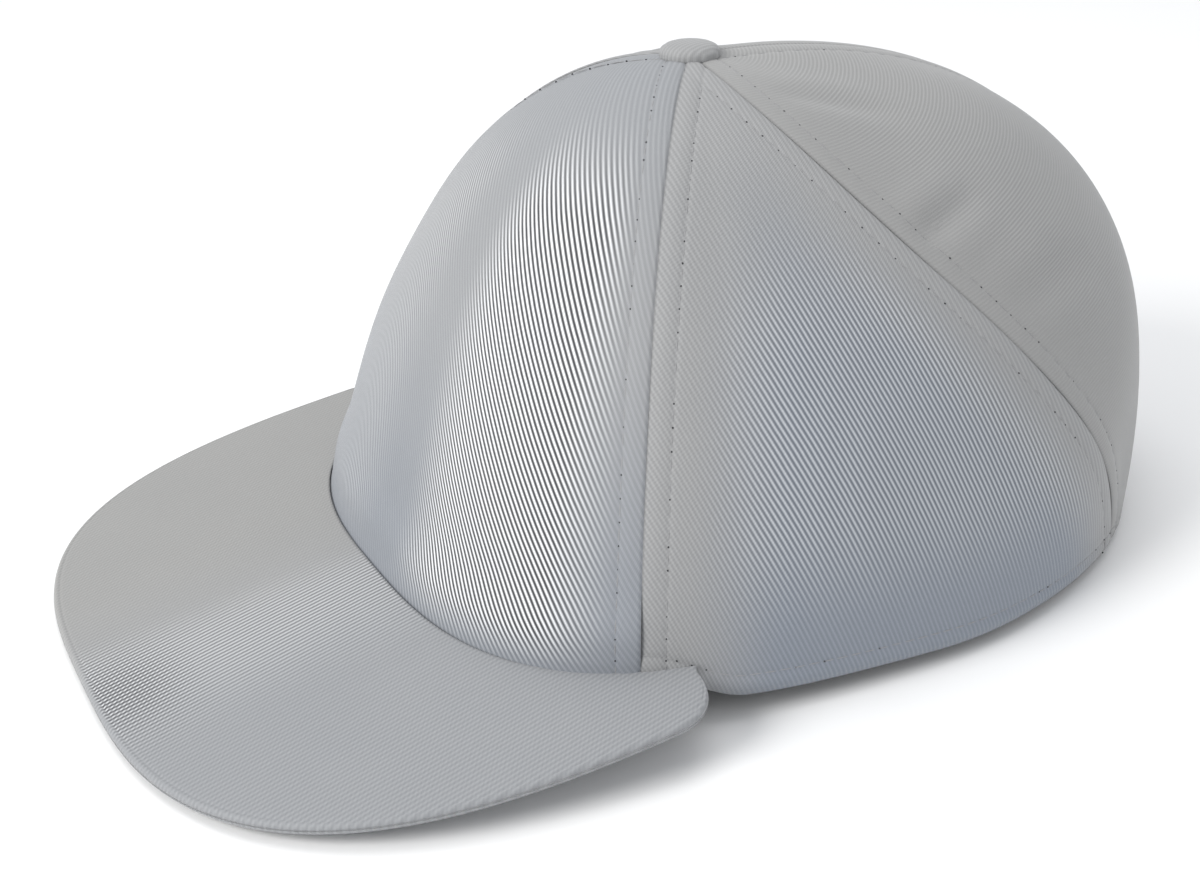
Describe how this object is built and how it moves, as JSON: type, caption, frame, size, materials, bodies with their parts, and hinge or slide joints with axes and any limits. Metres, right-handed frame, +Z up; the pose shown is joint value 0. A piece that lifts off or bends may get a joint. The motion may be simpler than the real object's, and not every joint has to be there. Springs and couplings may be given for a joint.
{
  "type": "bump cap",
  "caption": "Baseball-style bump cap: ribbed fabric crown and long stiff peak over a removable hard protective shell with foam pads, rear strap and ring closure.",
  "frame": {"origin": "centre of the head opening, on the surface that the cap rests on", "axes": "+Z up, -Y towards the tip of the peak, +X to the wearer's left"},
  "size_m": [0.2012, 0.2941, 0.1306],
  "materials": {
    "twill": "ribbed grey twill",
    "peak_twill": "ribbed grey twill",
    "lining": "plain woven lining tape",
    "buckram": "stiff open-weave interlining",
    "sweatband": "brushed absorbent band",
    "board": "sheet polyethylene",
    "webbing": "woven webbing",
    "hook_loop": "hook-and-loop tape",
    "ring": "moulded acetal",
    "label": "blank satin label",
    "shell": "moulded ABS",
    "trim": "soft rubber lip",
    "foam": "closed-cell foam faced with knit",
    "prong": "plated steel"
  },
  "bodies": {
    "cap": {"front_panel": "twill", "side_panel_left": "twill", "side_panel_right": "twill", "rear_panel_left": "twill", "rear_panel_right": "twill", "top_button": "twill", "button_prong": "prong", "front_buckram": "buckram", "front_seam_tape_left": "lining", "front_seam_tape_right": "lining", "side_seam_tape_left": "lining", "side_seam_tape_right": "lining", "rear_seam_tape": "lining", "sweatband": "sweatband", "care_label": "label", "visor_board": "board", "visor_top_cover": "peak_twill", "visor_under_cover": "peak_twill", "opening_binding": "lining", "adjuster_strap": "webbing", "loop_patch": "hook_loop", "ring_tab": "webbing", "strap_ring": "ring"},
    "strap_tail": {"strap_tail": "webbing", "hook_patch": "hook_loop"},
    "insert": {"insert_shell": "shell", "shell_edge_trim": "trim", "crown_pad": "foam", "front_pad": "foam", "side_pad_left": "foam", "side_pad_right": "foam", "rear_pad": "foam"}
  },
  "joints": [
    {"name": "tail_peel", "type": "hinge", "parent": "cap", "child": "strap_tail", "pos_m": [-0.02699, 0.10656, 0.014], "axis": [0, 0, 1], "range_deg": [0, 110]},
    {"name": "insert_drop", "type": "slide", "parent": "cap", "child": "insert", "axis": [0, 0, -1], "range_m": [0, 0.16]}
  ]
}
